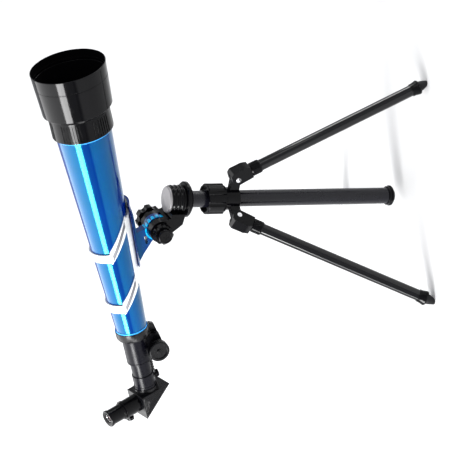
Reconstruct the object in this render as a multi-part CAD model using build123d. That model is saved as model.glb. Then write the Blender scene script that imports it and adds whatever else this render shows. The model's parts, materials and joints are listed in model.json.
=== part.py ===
from build123d import *
from math import cos, hypot, pi, radians, sin, sqrt
import os

# Children's refractor telescope on a folding table tripod, in millimetres.
# +Z is up and the telescope points along +X. The origin lies on the floor, under the middle of the
# overall box. Tripod pieces are built about the column's axis and telescope pieces about the
# altitude axle, with the optical axis along X, and both are then moved to their places.

# ---- Places and rest pose ----
COLUMN_X = 49.2              # tripod column's axis in the row frame
COLUMN_Y = -5.7
LEG_AZIMUTHS = (113.7, 235.0, 355.0)
LEG_SPREAD = 28.6  # each leg from the vertical, opened
ALTITUDE = 20.0  # telescope above the horizon at rest
DIAGONAL_ROLL = 15.0  # star diagonal about the optical axis at rest

# ---- Fits and gaps, radial ----
RUNNING = 0.06               # turning and sliding fits
SEAT = 0.02                  # pieces fixed in one another
FREE = 0.3                   # between bodies that pass each other

# ---- Legs, along each leg from its pivot ----
PIVOT_RADIUS = 25.5
LEG_REACH = 232.0  # pivot to sole
LEG_TUBE_R = 6.2
LEG_TUBE_WALL = 0.9
KNUCKLE_CHEEK = 3.6
KNUCKLE_BOSS_R = 6.5
KNUCKLE_END = 17.0
KNUCKLE_HOOD = 3.0
COLLAR_WALL = 1.3
COLLAR_LENGTH = 12.0
COLLAR_RIBS = 12
FERRULE_WALL = 0.9
FERRULE_FLARE = 1.1
FERRULE_LENGTH = 10.0
FERRULE_FLUTES = 8
TIP_R = 5.4
TIP_END_R = 2.9
TIP_LENGTH = 9.0
TIP_STEM_R = 3.0
SOLE_DEPTH = 1.4             # rubber that the floor plane trims to a flat
PIN_R = 1.95
PIN_HEAD_R = 2.7
PIN_HEAD = 0.7

# ---- Hub, lock nut and column, heights above the leg pivots ----
HUB_WALL = 3.4               # round the column
HUB_BOTTOM = -5.0
HUB_TOP = 11.4
LUG_THICK = 7.0
LUG_R = 6.0
COLLET_WALL = 2.4
NECK_WALL = 1.8
NECK_HEIGHT = 11.0
NECK_SLOTS = 4
NECK_SLOT = 1.6
NUT_SIDE = 3.4               # nut's wall round the neck
NUT_HEIGHT = 20.6
NUT_FLUTES = 8
NUT_FLUTE_R = 3.6
NUT_FLUTE_DEPTH = 1.6
NUT_CUP_DEPTH = 3.6
NUT_WALL = 2.4
COLUMN_R = 9.0
COLUMN_WALL = 1.2
COLUMN_CLEARANCE = 9.0       # end cap above the floor
COLUMN_TOP = 56.0
CAP_RING_STEP = 1.3          # ring beyond the column, and flange beyond the ring
CAP_FLANGE_STEP = 1.0
CAP_RING = 3.0
CAP_FLANGE = 2.4
CAP_DOME = 4.0
CAP_PLUG = 8.0

# ---- Pan head ----
FLANGE_BOTTOM = 51.6
FLANGE_STEP = 10.2           # flange beyond the column
FLANGE_THICK = 6.0
SPIGOT_R = 7.0
SPIGOT_HEIGHT = 11.0
HEAD_R = 15.0
HEAD_RIB = 0.8
HEAD_RIBS = 3
HEAD_HEIGHT = 18.6
LID_R = 14.2
LID_THICK = 2.6
PAN_WASHER_R = 9.5
PAN_WASHER = 1.2
PAN_SCREW_R = 2.4
PAN_SCREW_HEAD_R = 5.0
PAN_SCREW_HEAD = 3.0
PAN_SCREW_LENGTH = 9.0

# ---- Altitude hinge ----
HINGE_BACK = 30.0  # axle behind the column's axis
HINGE_ABOVE_LID = 7.2
EAR_R = 12.0
EAR_NEAR = -17.0             # the head's ear, along Y
EAR_FAR = -6.3
ARM_NEAR = 6.3               # the head's second ear
ARM_FAR = 14.0
SADDLE_DROP = 3.0            # the arm's floor between the ears, below the axle
BARREL_R = 12.2              # the telescope bracket's barrel
BARREL_FAR = 5.7
TEETH_R = 13.6
TEETH_WIDTH = 5.0
TEETH = 16
TEETH_NOTCH_R = 1.3
AXLE_R = 2.5
STAR_R = 14.6
STAR_LOBES = 7
STAR_THICK = 8.5
STAR_BOSS_R = 8.0
STAR_BOSS = 2.2
ROUND_R = 10.6
ROUND_THICK = 9.0
ROUND_FLUTES = 9
ROUND_CAP_R = 8.0
ROUND_CAP = 5.0

# ---- Main tube, along the optical axis from the altitude axle ----
TUBE_RISE = 52.0  # optical axis above the axle
TUBE_REAR = -107.0
TUBE_LENGTH = 242.0
TUBE_FRONT_R = 29.5
TUBE_WALL = 1.8
LIP = 0.7
LIP_WIDTH = 1.6
BAFFLE_X = 20.0
BAFFLE_THICK = 1.5
BAFFLE_HOLE_R = 15.0

# ---- Objective cell, lens and dew shield ----
CELL_STEP = 2.9              # knurled ring beyond the tube
CELL_LENGTH = 23.5
CELL_SPIGOT = 8.0
CELL_SHELF = 3.0             # seat under the lens rim
CELL_NOSE_STEP = 1.6
CELL_NOSE_WALL = 2.8
CELL_NOSE = 3.0
CELL_GROUPS = 6
CELL_GROOVES = 7
CELL_GROOVE = 1.5
CELL_GROOVE_DEPTH = 0.9
CELL_GROOVE_STEP = 5.6       # degrees
CELL_GROUP_TURN = -6.4
CELL_GROOVE_END = 2.5        # smooth band at each end of the grooves
CELL_CHAMFER = 0.8
LENS_SETBACK = 10.0          # lens behind the cell's front face
LENS_EDGE = 2.6
LENS_BULGE = 2.2
RETAINER_WIDTH = 2.5
RETAINER_THICK = 2.2
SHIELD_STEP_OUT = 4.2        # dew shield beyond the knurled ring
SHIELD_FLARE = 2.9
SHIELD_LENGTH = 50.5
SHIELD_WALL = 1.2
SHIELD_BACK = 2.2
SHIELD_SHOULDER = 3.8        # bevel round its rear end
SHIELD_STEP = 1.0
CAP_SEAT_LENGTH = 12.0
SHIELD_LINE = 15.0           # fine line behind the rim
SHIELD_LINE_WIDTH = 0.7
SHIELD_LINE_DEPTH = 0.35

# ---- Rear cap and focuser ----
REAR_CAP_STEP = 1.4          # rear cap beyond the tube
REAR_PLUG_WALL = 1.7
REAR_CAP_LENGTH = 11.0
REAR_CAP_ROUND = 3.0
REAR_CAP_SPIGOT = 6.0
FOCUSER_WALL = 2.44
FOCUSER_LENGTH = 31.5
FOCUSER_SPIGOT = 7.0
FOCUSER_RING = 1.6
DRAW_R = 11.0
DRAW_WALL = 1.6
DRAW_VISIBLE = 20.0
DRAW_INSIDE = 48.0
RACK_WIDTH = 6.0
GEAR_TEETH = 12
GEAR_MODULE = 1.0
GEAR_ADDENDUM = 0.75
GEAR_DEDENDUM = 1.05
TOOTH_SHARE = 0.36           # tooth width at the pitch line over the pitch
TOOTH_FLANK = 20.0
GEAR_WIDTH = 6.0
RACK_PITCH_LINE = 2.0        # rack's pitch line below the draw tube
PINION_BACK = 18.0  # pinion axis behind the rear cap
SHAFT_R = 2.0
HOUSING_WIDTH = 17.0
HOUSING_FIN = 12.0
FOCUS_KNOB_R = 11.5
FOCUS_KNOB_THICK = 8.0
FOCUS_KNOB_GAP = 5.5
FOCUS_KNOB_GROOVES = 30
FOCUS_KNOB_FACE_R = 8.6

# ---- Star diagonal and eyepiece ----
COLLAR_STEP = 1.0            # collar beyond the draw tube
COLLAR_OUT_LENGTH = 12.5
COLLAR_SCREW_BACK = 3.6
NOSE_GAP = 0.6               # nose inside the draw tube's bore
NOSE_LENGTH = 16.0
DIAGONAL_FLANGE_STEP = 1.4   # flange beyond the collar
DIAGONAL_FLANGE = 4.2
PRISM_TOP = 15.5
PRISM_BOTTOM = 21.5
PRISM_DEPTH = 27.0
PRISM_WIDTH = 30.0
PRISM_WALL = 1.8
PRISM_RIB_STEP = 1.9
PRISM_RIB_WIDTH = 0.7
PRISM_RIB_DEPTH = 0.4
EYE_BACK = 11.0  # eyepiece axis behind the prism housing's front
MIRROR_LENGTH = 12.0
MIRROR_WIDTH = 16.0
MIRROR_THICK = 1.0
HOLDER_WALL = 1.3
HOLDER_HEIGHT = 20.0
HOLDER_RING_STEP = 0.8
HOLDER_RING = 2.6
EYEPIECE_R = 8.75
EYEPIECE_WALL = 1.35
EYEPIECE_HEIGHT = 20.0
EYEPIECE_DEPTH = 14.0
EYEPIECE_SHOULDER_STEP = 0.65
EYEPIECE_SHOULDER = 2.0
EYE_CUP_STEP = 0.85
EYE_CUP = 3.0
EYE_HOLE_R = 5.0
LENS_THIN = 2.0
THUMB_R = 1.5
THUMB_HEAD_R = 4.2
THUMB_HEAD = 3.6
THUMB_NECK = 1.6
THUMB_GROOVES = 12

# ---- Cradle and bracket, along the tube from its rear end ----
CRADLE_GAP = 0.1
CRADLE_THICK = 2.1
HOOP_WIDTH = 9.5
ARM_WIDTH = 8.6              # across the slanted arms
HOOP_REAR_TOP = 35.0
HOOP_REAR_FOOT = 62.0
HOOP_FRONT_TOP = 100.0
HOOP_FRONT_FOOT = 134.0
HOOP_BEND = 0.35             # share of the tube's radius above its axis
RAIL_EDGE = 0.66  # share of the tube's radius below its axis
INLAY_WIDTH = 3.8             # across the slanted arms
INLAY_END = 1.2               # from the arm's ends
INLAY_DEPTH = 0.9
INLAY_PROUD = -0.25
SADDLE_REAR = 74.0
SADDLE_FRONT = 151.0
SADDLE_THICK = 2.6
SADDLE_EDGE = 1.0  # share of the tube's radius below its axis
WEB_THICK = 10.0
WEB_END = 1.0                # web's rear tip, from the saddle's rear end
WEB_OVERLAP = 1.0            # web's ends within the saddle
WEB_REAR_RUN = 9.0
WEB_REAR_DROP = 6.0
WEB_REAR_TURN = 30.0         # where the web's edges leave the barrel, degrees above the level
WEB_FRONT_TURN = 68.0
WEB_NOTCH_X = 2.4            # top corner of the cut-away, ahead of the axle
WEB_NOTCH_DROP = 1.6
WEB_NOTCH_FRONT = 24.0
WEB_LIP = 1.2
WEB_FRONT_RUN = 4.0
WEB_WINDOW_R = 1.5
WEB_WINDOW_X = -6.2
WEB_WINDOW_Z = 14.9
WEB_WINDOW_LENGTH = 6.2

# ---- Derived radii ----
HUB_R = COLUMN_R + HUB_WALL
NECK_BORE_R = COLUMN_R + COLLET_WALL
NECK_R = NECK_BORE_R + NECK_WALL
NUT_R = NECK_R + NUT_SIDE
CAP_RING_R = COLUMN_R + CAP_RING_STEP
CAP_FLANGE_R = CAP_RING_R + CAP_FLANGE_STEP
FLANGE_R = COLUMN_R + FLANGE_STEP
COLLAR_R = LEG_TUBE_R + COLLAR_WALL
FERRULE_R = LEG_TUBE_R + FERRULE_WALL
FERRULE_MOUTH_R = FERRULE_R + FERRULE_FLARE
CELL_R = TUBE_FRONT_R + CELL_STEP
CELL_NOSE_R = CELL_R - CELL_NOSE_STEP
LENS_R = CELL_NOSE_R - CELL_NOSE_WALL
CELL_BORE_R = LENS_R - CELL_SHELF
RETAINER_BORE_R = LENS_R - RETAINER_WIDTH
SHIELD_REAR_R = CELL_R + SHIELD_STEP_OUT
SHIELD_FRONT_R = SHIELD_REAR_R + SHIELD_FLARE
CAP_SEAT_R = SHIELD_FRONT_R - SHIELD_WALL
FOCUSER_R = DRAW_R + FOCUSER_WALL
TUBE_REAR_R = FOCUSER_R + REAR_PLUG_WALL + TUBE_WALL
REAR_CAP_R = TUBE_REAR_R + REAR_CAP_STEP
DRAW_BORE_R = DRAW_R - DRAW_WALL
NOSE_R = DRAW_BORE_R - NOSE_GAP
COLLAR_OUT_R = DRAW_R + COLLAR_STEP
DIAGONAL_FLANGE_R = COLLAR_OUT_R + DIAGONAL_FLANGE_STEP
HOLDER_R = EYEPIECE_R + HOLDER_WALL
HOLDER_RING_R = HOLDER_R + HOLDER_RING_STEP
EYEPIECE_BORE_R = EYEPIECE_R - EYEPIECE_WALL
EYEPIECE_SHOULDER_R = EYEPIECE_R + EYEPIECE_SHOULDER_STEP
EYE_CUP_R = EYEPIECE_R + EYE_CUP_STEP

# ---- Derived places ----
PIVOT_Z = LEG_REACH * cos(radians(LEG_SPREAD))
COLUMN_BOTTOM = COLUMN_CLEARANCE - PIVOT_Z + CAP_DOME + CAP_FLANGE + CAP_RING
NUT_BOTTOM = HUB_TOP + FREE
HEAD_BOTTOM = FLANGE_BOTTOM + FLANGE_THICK + FREE
LID_TOP = HEAD_BOTTOM + HEAD_HEIGHT
HINGE_X = COLUMN_X - HINGE_BACK
HINGE_Z = PIVOT_Z + LID_TOP + HINGE_ABOVE_LID
BARREL_NEAR = EAR_FAR + FREE
TUBE_FRONT = TUBE_REAR + TUBE_LENGTH
CELL_FRONT = TUBE_FRONT + CELL_LENGTH
SHIELD_FRONT = CELL_FRONT + SHIELD_LENGTH
CAP_REAR = TUBE_REAR - REAR_CAP_LENGTH
FOCUSER_REAR = CAP_REAR - FOCUSER_LENGTH
DRAW_REAR = FOCUSER_REAR - DRAW_VISIBLE
COLLAR_OUT_REAR = DRAW_REAR - COLLAR_OUT_LENGTH
DIAGONAL_FRONT = COLLAR_OUT_REAR - FREE
PRISM_FRONT = DIAGONAL_FRONT - DIAGONAL_FLANGE
EYE_X = PRISM_FRONT - EYE_BACK
PINION_X = CAP_REAR - PINION_BACK
PITCH_R = GEAR_TEETH * GEAR_MODULE / 2
PINION_DROP = DRAW_R + RACK_PITCH_LINE + PITCH_R
EYEPIECE_BASE = PRISM_TOP + HOLDER_HEIGHT + RUNNING
BIG = 400.0


# ---- Shape helpers ----
def turned_x(points):
    """Solid of revolution about X from (x, radius) points."""
    return revolve(make_face(Polyline(*points, close=True)), Axis.X)


def turned_z(points):
    """Solid of revolution about Z from (radius, z) points."""
    return revolve(Plane.XZ * make_face(Polyline(*points, close=True)), Axis.Z)


def pipe_x(rear, front, outer, inner):
    return turned_x([(rear, inner), (front, inner), (front, outer), (rear, outer)])


def pipe_z(low, high, outer, inner):
    return turned_z([(inner, low), (outer, low), (outer, high), (inner, high)])


def rod_z(low, high, radius):
    return Pos(0, 0, (low + high) / 2) * Cylinder(radius, high - low)


def rod_x(rear, front, radius):
    return Pos((rear + front) / 2, 0, 0) * Rot(0, 90, 0) * Cylinder(radius, front - rear)


def rod_y(near, far, radius):
    return Pos(0, (near + far) / 2, 0) * Rot(90, 0, 0) * Cylinder(radius, far - near)


def block(x, y, z):
    """Box from three (low, high) spans."""
    middle = Pos(sum(x) / 2, sum(y) / 2, sum(z) / 2)
    return middle * Box(x[1] - x[0], y[1] - y[0], z[1] - z[0])


def slab_y(points, near, far):
    """Outline of (x, z) points, thickened along Y."""
    face = Plane.XZ * make_face(Polyline(*points, close=True))
    return extrude(face, amount=-(far - near)).moved(Pos(0, near, 0))


def around_z(count, radius, cutter, start=0.0):
    """Copies of a cutter set round Z."""
    step = 360.0 / count
    return [Rot(0, 0, start + i * step) * Pos(radius, 0, 0) * cutter for i in range(count)]


# ---- Placing ----
def on_column(shape):
    return Pos(COLUMN_X, COLUMN_Y, PIVOT_Z) * shape


def on_leg(shape, azimuth):
    opened = Pos(PIVOT_RADIUS, 0, 0) * Rot(0, -LEG_SPREAD, 0) * shape
    return on_column(Rot(0, 0, azimuth) * opened)


def on_hinge(shape):
    """Pieces built about the altitude axle, level."""
    return Pos(HINGE_X, COLUMN_Y, HINGE_Z) * shape


def on_scope(shape):
    """Pieces built about the altitude axle, raised to the rest altitude."""
    return Pos(HINGE_X, COLUMN_Y, HINGE_Z) * Rot(0, -ALTITUDE, 0) * shape


def on_axis(shape):
    """Pieces built about the optical axis."""
    return on_scope(Pos(0, 0, TUBE_RISE) * shape)


def on_diagonal(shape):
    return on_axis(Rot(DIAGONAL_ROLL, 0, 0) * shape)


# ---- Legs, built hanging down along -Z from the pivot ----
COLLAR_TOP = -KNUCKLE_END
TUBE_TOP = COLLAR_TOP - 1.0
FERRULE_BOTTOM = -(LEG_REACH - TIP_LENGTH)
FERRULE_TOP = FERRULE_BOTTOM + FERRULE_LENGTH
TUBE_BOTTOM = FERRULE_BOTTOM + 2.0
CHEEK_IN = LUG_THICK / 2 + FREE
CHEEK_OUT = CHEEK_IN + KNUCKLE_CHEEK
HOOD_IN = LUG_R + FREE + 0.2
HOOD_OUT = HOOD_IN + KNUCKLE_HOOD


def leg_knuckle():
    """Forked leg top: two cheeks and a hood round the hub's lug, with a spigot for the tube."""
    throat = -(LUG_R + FREE + 0.2)
    boss = rod_y(-CHEEK_OUT, CHEEK_OUT, KNUCKLE_BOSS_R)
    side = slab_y([(-KNUCKLE_BOSS_R, 0), (-KNUCKLE_BOSS_R + 1.0, -KNUCKLE_END),
                   (HOOD_OUT - 2.0, -KNUCKLE_END), (HOOD_OUT, -KNUCKLE_END + 6.0), (HOOD_OUT, 2.5),
                   (HOOD_OUT - 3.0, KNUCKLE_BOSS_R - 0.6), (0, KNUCKLE_BOSS_R)], -CHEEK_OUT, CHEEK_OUT)
    slot = block((-BIG, HOOD_IN), (-CHEEK_IN, CHEEK_IN), (throat, BIG))
    spigot = rod_z(-KNUCKLE_END - COLLAR_LENGTH, -KNUCKLE_END + 1.0, LEG_TUBE_R - LEG_TUBE_WALL - SEAT)
    hole = rod_y(-BIG, BIG, PIN_R)
    return boss + side - slot + spigot - hole


def leg_pin():
    """Pin with two low rivet heads, pressed in the cheeks and running in the lug."""
    shank = rod_y(-CHEEK_OUT, CHEEK_OUT, PIN_R)
    near = rod_y(-CHEEK_OUT - PIN_HEAD, -CHEEK_OUT, PIN_HEAD_R)
    far = rod_y(CHEEK_OUT, CHEEK_OUT + PIN_HEAD, PIN_HEAD_R)
    return shank + near + far


def leg_collar():
    """Ribbed collar round the top of the leg tube."""
    low = COLLAR_TOP - COLLAR_LENGTH
    body = turned_z([(LEG_TUBE_R + SEAT, low), (COLLAR_R - 0.8, low), (COLLAR_R, low + 1.2),
                     (COLLAR_R, COLLAR_TOP - 1.2), (COLLAR_R - 0.8, COLLAR_TOP),
                     (LEG_TUBE_R + SEAT, COLLAR_TOP)])
    groove = Pos(0, 0, low + COLLAR_LENGTH / 2) * Box(1.0, 1.6, COLLAR_LENGTH - 4.0)
    return body - around_z(COLLAR_RIBS, COLLAR_R, groove)


def leg_tube():
    return pipe_z(TUBE_BOTTOM, TUBE_TOP, LEG_TUBE_R, LEG_TUBE_R - LEG_TUBE_WALL)


def leg_ferrule():
    """Flared, fluted cap that closes the leg tube and holds the rubber tip."""
    bore = LEG_TUBE_R + SEAT
    body = turned_z([(TIP_STEM_R + SEAT, FERRULE_BOTTOM), (FERRULE_MOUTH_R - 1.0, FERRULE_BOTTOM),
                     (FERRULE_MOUTH_R, FERRULE_BOTTOM + 1.5), (FERRULE_R, FERRULE_TOP - 3.0),
                     (FERRULE_R, FERRULE_TOP), (bore, FERRULE_TOP), (bore, TUBE_BOTTOM),
                     (TIP_STEM_R + SEAT, TUBE_BOTTOM)])
    flute = Pos(0, 0, FERRULE_BOTTOM + 2.6) * Cylinder(1.1, 5.6)
    return body - around_z(FERRULE_FLUTES, FERRULE_MOUTH_R + 0.3, flute)


def leg_tip(azimuth):
    """Rubber tip, trimmed flat where it stands on the floor."""
    low = -(LEG_REACH + SOLE_DEPTH)
    stem_top = FERRULE_BOTTOM + 5.0
    body = turned_z([(0, low), (TIP_END_R - 1.0, low), (TIP_END_R, low + 1.0),
                     (TIP_R, FERRULE_BOTTOM - 2.5), (TIP_R, FERRULE_BOTTOM), (TIP_STEM_R, FERRULE_BOTTOM),
                     (TIP_STEM_R, stem_top), (0, stem_top)])
    under_floor = block((-BIG, BIG), (-BIG, BIG), (-BIG, 0))
    return on_leg(body, azimuth) - under_floor


# ---- Hub, lock nut and column, built about the column's axis with the leg pivots at z = 0 ----
NECK_TOP = HUB_TOP + NECK_HEIGHT
NUT_TOP = NUT_BOTTOM + NUT_HEIGHT
NUT_SHELF = NECK_TOP + FREE


def tripod_hub():
    """Ring with three lugs for the legs and a slotted neck for the lock nut."""
    body = rod_z(HUB_BOTTOM, HUB_TOP, HUB_R) + rod_z(HUB_TOP, NECK_TOP, NECK_R)
    for azimuth in LEG_AZIMUTHS:
        arm = block((0, PIVOT_RADIUS), (-LUG_THICK / 2, LUG_THICK / 2), (-LUG_R + 1.0, LUG_R))
        boss = Pos(PIVOT_RADIUS, 0, 0) * rod_y(-LUG_THICK / 2, LUG_THICK / 2, LUG_R)
        body += Rot(0, 0, azimuth) * (arm + boss)
    for azimuth in LEG_AZIMUTHS:
        body -= Rot(0, 0, azimuth) * Pos(PIVOT_RADIUS, 0, 0) * rod_y(-BIG, BIG, PIN_R + RUNNING)
    slot = block((NECK_BORE_R - 1.0, NECK_R + 1.0), (-NECK_SLOT / 2, NECK_SLOT / 2),
                 (HUB_TOP + 2.0, NECK_TOP + 1.0))
    body -= [Rot(0, 0, i * 360.0 / NECK_SLOTS) * slot for i in range(NECK_SLOTS)]
    body -= rod_z(HUB_BOTTOM - 1.0, HUB_TOP, COLUMN_R + RUNNING)
    return body - rod_z(HUB_TOP, NECK_TOP + 1.0, NECK_BORE_R)


def column_collet():
    """Split sleeve that the lock nut closes on the column."""
    sleeve = pipe_z(HUB_TOP, NECK_TOP, NECK_BORE_R - SEAT, COLUMN_R + RUNNING)
    return sleeve - block((0, BIG), (-NECK_SLOT / 2, NECK_SLOT / 2), (-BIG, BIG))


def column_lock_nut():
    """Fluted nut with an open cup on top."""
    cup = NUT_TOP - NUT_CUP_DEPTH
    body = turned_z([(NECK_R + RUNNING, NUT_BOTTOM), (NUT_R - 0.8, NUT_BOTTOM), (NUT_R, NUT_BOTTOM + 0.8),
                     (NUT_R, NUT_TOP - 1.0), (NUT_R - 1.0, NUT_TOP), (NUT_R - NUT_WALL, NUT_TOP),
                     (NUT_R - NUT_WALL, cup), (COLUMN_R + FREE, cup), (COLUMN_R + FREE, NUT_SHELF),
                     (NECK_R + RUNNING, NUT_SHELF)])
    flute = rod_z(-BIG, BIG, NUT_FLUTE_R)
    return body - around_z(NUT_FLUTES, NUT_R + NUT_FLUTE_R - NUT_FLUTE_DEPTH, flute)


def column_tube():
    return pipe_z(COLUMN_BOTTOM, COLUMN_TOP, COLUMN_R, COLUMN_R - COLUMN_WALL)


def column_cap():
    """End cap under the column: plug, ring, flange and a domed foot."""
    plug_r = COLUMN_R - COLUMN_WALL - SEAT
    ring = COLUMN_BOTTOM - CAP_RING
    low = ring - CAP_FLANGE
    body = turned_z([(0, low), (CAP_FLANGE_R - 0.8, low), (CAP_FLANGE_R, low + 0.8), (CAP_FLANGE_R, ring),
                     (CAP_RING_R, ring), (CAP_RING_R, COLUMN_BOTTOM), (plug_r, COLUMN_BOTTOM),
                     (plug_r, COLUMN_BOTTOM + CAP_PLUG), (0, COLUMN_BOTTOM + CAP_PLUG)])
    dome = Pos(0, 0, low) * scale(Sphere(1.0), by=(COLUMN_R, COLUMN_R, CAP_DOME))
    return body + dome


# ---- Pan head ----
SPIGOT_TOP = FLANGE_BOTTOM + FLANGE_THICK + SPIGOT_HEIGHT
SHELF_TOP = SPIGOT_TOP - FREE


def pan_base():
    """Flange on the column's top with the spigot that the head turns on."""
    top = FLANGE_BOTTOM + FLANGE_THICK
    body = turned_z([(0, COLUMN_TOP), (COLUMN_R + SEAT, COLUMN_TOP), (COLUMN_R + SEAT, FLANGE_BOTTOM),
                     (FLANGE_R - 2.0, FLANGE_BOTTOM), (FLANGE_R, FLANGE_BOTTOM + 2.0),
                     (FLANGE_R, top - 1.2), (FLANGE_R - 1.2, top), (SPIGOT_R, top),
                     (SPIGOT_R, SPIGOT_TOP), (0, SPIGOT_TOP)])
    return body - rod_z(SPIGOT_TOP - PAN_SCREW_LENGTH, BIG, PAN_SCREW_R)


def head_profile():
    """Ribbed outline of the head's barrel as (radius, z) points."""
    points = [(SPIGOT_R + RUNNING, HEAD_BOTTOM), (HEAD_R, HEAD_BOTTOM)]
    pitch = (HEAD_HEIGHT - LID_THICK) / (HEAD_RIBS + 0.5)
    for i in range(HEAD_RIBS):
        low = HEAD_BOTTOM + (i + 0.5) * pitch
        points += [(HEAD_R, low), (HEAD_R + HEAD_RIB, low + 0.25 * pitch),
                   (HEAD_R + HEAD_RIB, low + 0.5 * pitch), (HEAD_R, low + 0.75 * pitch)]
    floor = LID_TOP - LID_THICK
    well = PAN_WASHER_R + FREE
    points += [(HEAD_R, floor), (well, floor), (well, SHELF_TOP), (SPIGOT_R + RUNNING, SHELF_TOP)]
    return points


def head_body():
    """Head barrel with the forked arm that reaches back to the altitude axle."""
    rise = LID_TOP + HINGE_ABOVE_LID
    hinge = Pos(-HINGE_BACK, 0, rise)
    shade = LID_TOP - LID_THICK
    front = -SPIGOT_R - 3.5
    arm = slab_y([(-HINGE_BACK - 9.5, rise - 7.5), (-HINGE_BACK - 2.0, rise - EAR_R + 0.1),
                  (-HINGE_BACK + 8.0, HEAD_BOTTOM + 2.5), (front, HEAD_BOTTOM + 0.6), (front, shade),
                  (-HEAD_R, shade), (-HINGE_BACK + 8.5, rise + 8.5)], EAR_NEAR, ARM_FAR)
    ears = hinge * rod_y(EAR_NEAR, ARM_FAR, EAR_R)
    pocket = hinge * rod_y(EAR_FAR, ARM_NEAR, TEETH_R + FREE)
    pocket += block((-BIG, BIG), (EAR_FAR, ARM_NEAR), (rise - SADDLE_DROP, BIG))
    inside = rod_z(HEAD_BOTTOM - 1.0, BIG, SPIGOT_R + 3.6)
    bore = hinge * rod_y(-BIG, BIG, AXLE_R)
    return (arm + ears - pocket - inside) + turned_z(head_profile()) - bore


def head_lid():
    """Silver-grey disc that closes the head."""
    low = LID_TOP - LID_THICK
    return turned_z([(0, low), (LID_R, low), (LID_R, LID_TOP - 0.8), (LID_R - 0.8, LID_TOP), (0, LID_TOP)])


def pan_washer():
    return pipe_z(SPIGOT_TOP, SPIGOT_TOP + PAN_WASHER, PAN_WASHER_R, PAN_SCREW_R + SEAT)


def pan_screw():
    """Screw that holds the head down on its spigot."""
    seat = SPIGOT_TOP + PAN_WASHER
    shank = rod_z(SPIGOT_TOP - PAN_SCREW_LENGTH, seat, PAN_SCREW_R)
    head = rod_z(seat, seat + PAN_SCREW_HEAD, PAN_SCREW_HEAD_R)
    recess = Pos(0, 0, seat + PAN_SCREW_HEAD) * Box(6.0, 1.2, 2.4)
    return shank + head - recess - recess.rotate(Axis.Z, 90)


# ---- Altitude hinge, built about the axle ----
STAR_NEAR = ARM_FAR + FREE
STAR_FAR = STAR_NEAR + STAR_BOSS + STAR_THICK
ROUND_FAR = EAR_NEAR - FREE
ROUND_NEAR = ROUND_FAR - ROUND_THICK


def altitude_axle():
    """Bolt through the ear and the bracket's barrel, with a knob on each end."""
    return rod_y(ROUND_NEAR + 1.5, STAR_FAR - 2.0, AXLE_R)


def star_knob():
    """Lobed knob on the far end of the axle."""
    lobes = rod_y(STAR_NEAR + STAR_BOSS, STAR_FAR, STAR_R)
    bite = Pos(0, 0, STAR_R + 1.6) * rod_y(-BIG, BIG, 4.0)
    lobes -= [Rot(0, i * 360.0 / STAR_LOBES, 0) * bite for i in range(STAR_LOBES)]
    boss = rod_y(STAR_NEAR, STAR_NEAR + STAR_BOSS, STAR_BOSS_R)
    dish = rod_y(STAR_FAR - 1.2, STAR_FAR + 1.0, STAR_BOSS_R)
    return lobes + boss - dish - rod_y(-BIG, STAR_FAR - 2.0, AXLE_R + RUNNING)


def round_knob():
    """Fluted round knob on the near end of the axle."""
    body = rod_y(ROUND_NEAR, ROUND_FAR, ROUND_R)
    flute = Pos(0, 0, ROUND_R + 1.0) * rod_y(ROUND_NEAR - 1.0, ROUND_FAR - 1.8, 2.2)
    body -= [Rot(0, i * 360.0 / ROUND_FLUTES, 0) * flute for i in range(ROUND_FLUTES)]
    return body - rod_y(ROUND_NEAR + 1.5, BIG, AXLE_R + RUNNING)


def round_knob_cap():
    """Cap with a cross recess on the round knob."""
    low = ROUND_NEAR - ROUND_CAP
    cap = fillet(rod_y(low, ROUND_NEAR, ROUND_CAP_R).edges().sort_by(Axis.Y)[0], 1.4)
    recess = Pos(0, low, 0) * Box(7.0, 1.8, 1.5)
    dish = rod_y(low - 1.0, low + 0.5, ROUND_CAP_R - 2.2)
    return cap - dish - recess - recess.rotate(Axis.Y, 90)


# ---- Main tube, objective and dew shield, built about the optical axis ----
def tube_r(x):
    """Outer radius of the main tube at a place along the axis."""
    return TUBE_REAR_R + (x - TUBE_REAR) * (TUBE_FRONT_R - TUBE_REAR_R) / TUBE_LENGTH


def tube_skin(rear, front, inner_gap, outer_gap):
    """Conical shell that follows the main tube's outside."""
    return turned_x([(rear, tube_r(rear) + inner_gap), (front, tube_r(front) + inner_gap),
                     (front, tube_r(front) + outer_gap), (rear, tube_r(rear) + outer_gap)])


def main_tube():
    """Tapered tube with a fine lip at each end."""
    shell = tube_skin(TUBE_REAR, TUBE_FRONT, -TUBE_WALL, 0)
    rear_lip = tube_skin(TUBE_REAR, TUBE_REAR + LIP_WIDTH, -TUBE_WALL / 2, LIP)
    front_lip = tube_skin(TUBE_FRONT - LIP_WIDTH, TUBE_FRONT, -TUBE_WALL / 2, LIP)
    return shell + rear_lip + front_lip


def tube_baffle():
    """Light stop inside the main tube."""
    front = BAFFLE_X + BAFFLE_THICK
    edge = -TUBE_WALL - SEAT
    return turned_x([(BAFFLE_X, BAFFLE_HOLE_R), (front, BAFFLE_HOLE_R), (front, tube_r(front) + edge),
                     (BAFFLE_X, tube_r(BAFFLE_X) + edge)])


LENS_REAR = CELL_FRONT - LENS_SETBACK
LENS_EDGE_FRONT = LENS_REAR + LENS_EDGE
DOME_R = (LENS_R ** 2 + LENS_BULGE ** 2) / (2 * LENS_BULGE)
DOME_X = LENS_EDGE_FRONT + LENS_BULGE - DOME_R


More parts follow.
